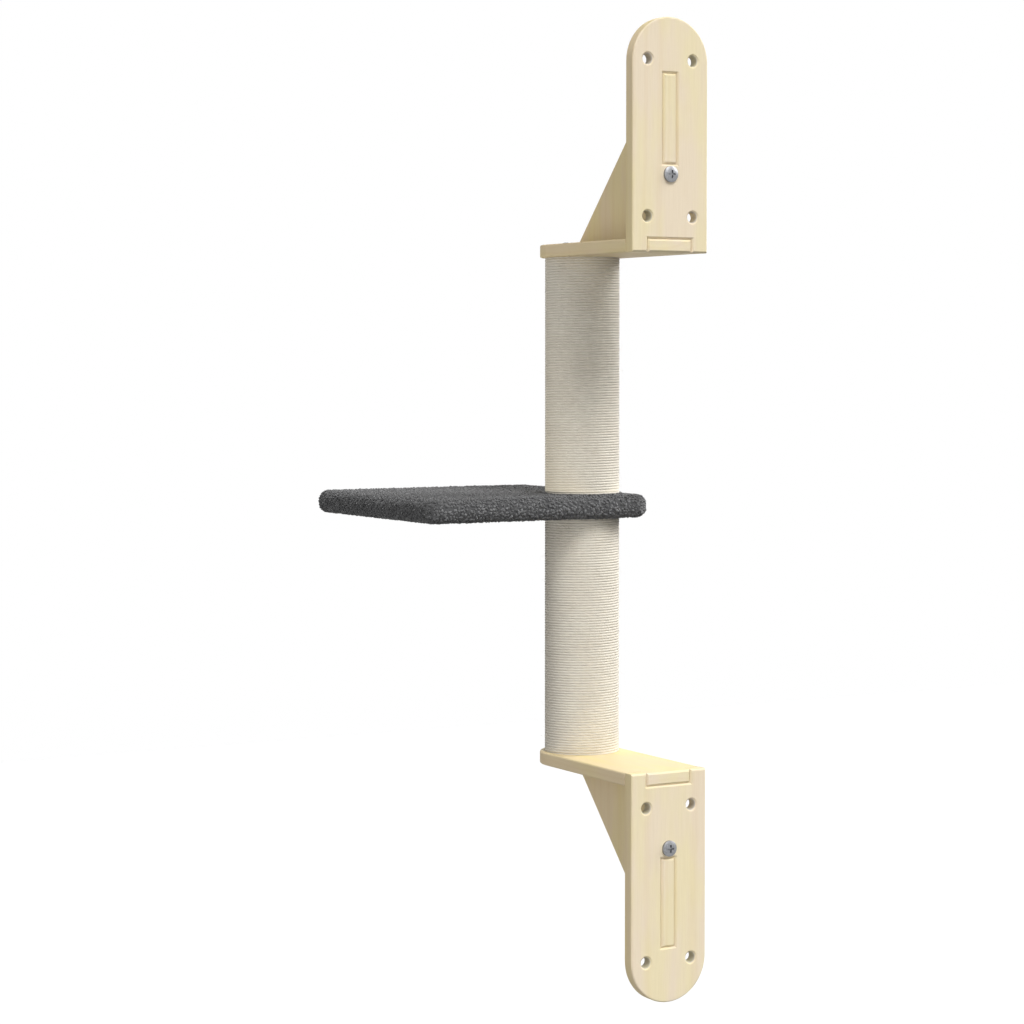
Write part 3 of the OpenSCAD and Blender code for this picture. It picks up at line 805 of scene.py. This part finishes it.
def curl_paths(roots, normals, left_face, rng):
    """The curls' middle lines, arcs that leave the backing and bend back to it, and the way across each."""
    n = len(roots)
    spin = rng.uniform(0, 2 * np.pi, n)
    helper = np.where(abs(normals[:, 2:]) > NEARLY_UPRIGHT, [[1.0, 0, 0]], [[0, 0, 1.0]])
    first = unit(np.cross(normals, helper))
    second = np.cross(normals, first)
    way = first * np.cos(spin)[:, None] + second * np.sin(spin)[:, None]
    across = np.cross(normals, way)
    lean = rng.normal(0, CURL_LEAN, n) * (1 - LEFT_FACE_FLATNESS * left_face)
    rise = unit(normals + across * lean[:, None])
    bend = rng.uniform(*CURL_BEND, n)
    start = rng.uniform(*CURL_START, n) * np.pi
    span = rng.uniform(*CURL_SPAN, n) * np.pi
    t = np.linspace(0, 1, CURL_POINTS)
    angle = start[:, None] + span[:, None] * t
    height = rng.uniform(*CURL_HEIGHT, n) * (1 - LEFT_FACE_FLATNESS * left_face)
    twist = rng.normal(0, CURL_TWIST, n)[:, None] * np.linspace(-1, 1, CURL_POINTS)[None, :]
    path = (
        roots[:, None, :]
        - way[:, None, :] * (bend[:, None] * np.cos(angle))[..., None]
        + rise[:, None, :] * ((bend * height)[:, None] * np.sin(angle))[..., None]
        + across[:, None, :] * twist[..., None]
    )
    return path, across


def tuft_tone(roots, rng):
    """A tone that neighbouring curls share, from smooth random waves of about one tuft's size."""
    waves = rng.normal(0, 2 * np.pi / TUFT_SIZE / TUFTS_PER_WAVE, (3, TUFT_WAVES))
    phases = rng.uniform(0, 2 * np.pi, TUFT_WAVES)
    return np.sin(roots @ waves + phases).mean(1) * np.sqrt(TUFT_WAVES)


def curl_tones(roots, normals, left_face, rng):
    """One tone for each curl, from its own chance and its tuft's, with painted shade on the top, the
    underside and the +X face.
    """
    own = TONE_WITHIN_TUFT * rng.beta(*TONE_SHAPE, len(roots))
    tones = np.clip(TONE_BASE + own + TONE_OF_TUFT * tuft_tone(roots, rng), 0, 1)
    # Painted shade: curls that face up, down or towards +X are darkened
    upwards, downwards = np.clip(normals[:, 2], 0, 1), np.clip(-normals[:, 2], 0, 1)
    shade = np.max([LEFT_FACE_SHADE * left_face, TOP_SHADE * upwards, UNDER_SHADE * downwards], 0)
    return tones * (1 - shade)


def plush_curls(name, roots, normals, material, rng):
    """One curl of yarn at each root."""
    left_face = np.clip(normals[:, 0], 0, 1)
    roots = roots - normals * (LEFT_FACE_DEPTH * left_face)[:, None]
    path, across = curl_paths(roots, normals, left_face, rng)
    width = CURL_RADIUS * rng.uniform(*CURL_WIDTH, len(roots)) * (1 + LEFT_FACE_GROWTH * left_face)
    radii = width[:, None] * (1 - CURL_TAPER * np.linspace(0, 1, CURL_POINTS))[None, :]
    points, faces = sweep(path, radii, CURL_SIDES, across + HINT_SHIFT)
    piece = mesh_object(name, points, faces, material)
    set_tone(piece, np.repeat(curl_tones(roots, normals, left_face, rng), CURL_POINTS * CURL_SIDES))
    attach(piece, "root")


def platform_pile(material, rng):
    """The pile of curls on the top, on the bottom and round the rim."""
    plush_curls("platform_pile_top", *face_roots(1, rng), material, rng)
    plush_curls("platform_pile_bottom", *face_roots(-1, rng), material, rng)
    plush_curls("platform_pile_rim", *rim_roots(rng), material, rng)


# Stage


def build_world():
    """White to the camera and in reflections; a faint even light from above and below for the rest."""
    world = bpy.data.worlds.new("studio")
    bpy.context.scene.world = world
    world.use_nodes = True
    add = node_adder(world.node_tree)
    path = add("LightPath")
    seen = path.outputs["Is Camera Ray"]
    for other in ("Is Glossy Ray", "Is Transmission Ray"):
        seen = add("Math", {}, {0: seen, 1: path.outputs[other]}, operation="MAXIMUM").outputs[0]
    heading = add("SeparateXYZ", {}, {0: add("TexCoord").outputs["Generated"]})
    blend = {"From Min": -HORIZON_BLEND, "From Max": HORIZON_BLEND}
    light = {"To Min": LIGHT_FROM_BELOW, "To Max": LIGHT_FROM_ABOVE}
    fill = add("MapRange", {**blend, **light}, {"Value": heading.outputs["Z"]})
    strength = add("MapRange", {"To Max": 1.0}, {"Value": seen, "To Min": fill.outputs[0]})
    back = add("Background", {"Color": (*WHITE, 1.0)}, {"Strength": strength.outputs[0]})
    add("OutputWorld", {}, {"Surface": back.outputs[0]})


def build_floor():
    """A floor that is white to the camera but for the shadow on it; it blocks no light and bounces none."""
    corners = np.array([(-1, -1, 0), (1, -1, 0), (1, 1, 0), (-1, 1, 0)]) * FLOOR_SIZE / 2 + (0, 0, FLOOR_Z)
    material, add = new_material("pale_floor")
    path = add("LightPath")
    camera_ray, glossy_ray = path.outputs["Is Camera Ray"], path.outputs["Is Glossy Ray"]
    seen = add("Math", {}, {0: camera_ray, 1: glossy_ray}, operation="MAXIMUM")
    strength = add("Math", {1: FLOOR_LIFT}, {0: seen.outputs[0]}, operation="MULTIPLY")
    matt = add("BsdfDiffuse", {"Color": (FLOOR_GREY, FLOOR_GREY, FLOOR_GREY, 1.0)})
    glow = add("Emission", {"Color": (*WHITE, 1.0)}, {"Strength": strength.outputs[0]})
    both = add("AddShader", {}, {0: matt.outputs[0], 1: glow.outputs[0]})
    add("OutputMaterial", {}, {"Surface": both.outputs[0]})
    floor = mesh_object("studio_floor", corners, np.array([[0, 1, 2, 3]]), material, smooth=False)
    floor.visible_shadow = False
    floor.visible_diffuse = False


def build_lamp(name, around, above, strength, spread):
    """A distant soft light from the direction given in degrees."""
    around, above = math.radians(around), math.radians(above)
    level = math.cos(above)
    source = Vector((level * math.cos(around), level * math.sin(around), math.sin(above)))
    data = bpy.data.lights.new(name, "SUN")
    data.energy = strength
    data.angle = math.radians(spread)
    lamp = bpy.data.objects.new(name, data)
    lamp.rotation_mode = "QUATERNION"
    lamp.rotation_quaternion = source.to_track_quat("Z", "Y")
    bpy.context.scene.collection.objects.link(lamp)


def build_bounce():
    """A soft panel that shines up from the platform's top and that the camera doesn't see."""
    middle, half = platform_sizes()
    data = bpy.data.lights.new("platform_bounce", "AREA")
    data.shape = "SQUARE"
    data.size = BOUNCE_SIZE
    data.color = BOUNCE_COLOUR
    data.energy = BOUNCE_RADIANCE * math.pi * BOUNCE_SIZE**2
    panel = bpy.data.objects.new("platform_bounce", data)
    panel.location = middle + Vector((0, 0, half.z + BOUNCE_HEIGHT))
    panel.rotation_euler = (math.pi, 0, 0)
    panel.visible_camera = False
    bpy.context.scene.collection.objects.link(panel)


def build_camera():
    """The photograph's camera."""
    data = bpy.data.cameras.new("photograph")
    data.lens = CAMERA_LENS
    data.shift_y = CAMERA_SHIFT_Y
    data.clip_start, data.clip_end = CAMERA_REACH
    camera = bpy.data.objects.new("photograph", data)
    camera.location = CAMERA_PLACE
    camera.rotation_euler = (math.pi / 2 - CAMERA_PITCH, 0, math.pi - CAMERA_TURN)
    bpy.context.scene.collection.objects.link(camera)
    bpy.context.scene.camera = camera


# Materials of the CAD nodes


def bracket_pine(side, board):
    """The pine of one board of a bracket; the lower bracket's boards come from other places in the tree."""
    turn, from_pith, noise_place = GRAINS[board]
    number = SIDES.index(side)
    drifted = tuple(place + number * drift for place, drift in zip(from_pith, LOWER_DRIFT[board]))
    plate_side = side if board == "plate" else None
    return planed_wood(f"{side}_{board}_pine", PINE, turn, drifted, noise_place + number, plate_side)


def dress(node, material):
    """Replaces the materials of a CAD node's slots."""
    for slot in frame["nodes"][node].material_slots:
        slot.material = material


def dress_cad():
    """Gives every CAD node its material."""
    steel, paper = zinc_plate(), wound_paper()
    birch = planed_wood("birch_plug", BIRCH, *GRAINS["plug"])
    for side in SIDES:
        looks = {
            "wall_plate": bracket_pine(side, "plate"),
            "shelf": bracket_pine(side, "shelf"),
            "gusset": bracket_pine(side, "gusset"),
            "gusset_screw": steel,
            "gusset_dowels": birch,
            "post_screws": steel,
            "post_tube": paper,
            "shelf_plug": birch,
            "platform_plug": birch,
            "stud_insert": steel,
        }
        for part, material in looks.items():
            dress(f"{side}_{part}", material)
    dress("platform_board", planed_wood("board_pine", PINE, *GRAINS["board"]))
    dress("platform_stud", steel)


build_camera()
build_world()
build_floor()
for lamp_name, lamp_setting in LAMPS.items():
    build_lamp(lamp_name, *lamp_setting)
build_bounce()
dress_cad()

cream, fibre = rope_cream(), fibre_cream()
rng = np.random.default_rng(SEED)
for side in SIDES:
    rope_winding(side, cream, rng)
    rope_fibres(side, fibre, rng)
plush_backing(plush_grey("plush_backing", BACKING_GREYS))
platform_pile(plush_grey("plush_curls", CURL_GREYS), rng)

bpy.context.scene.view_settings.view_transform = "Standard"
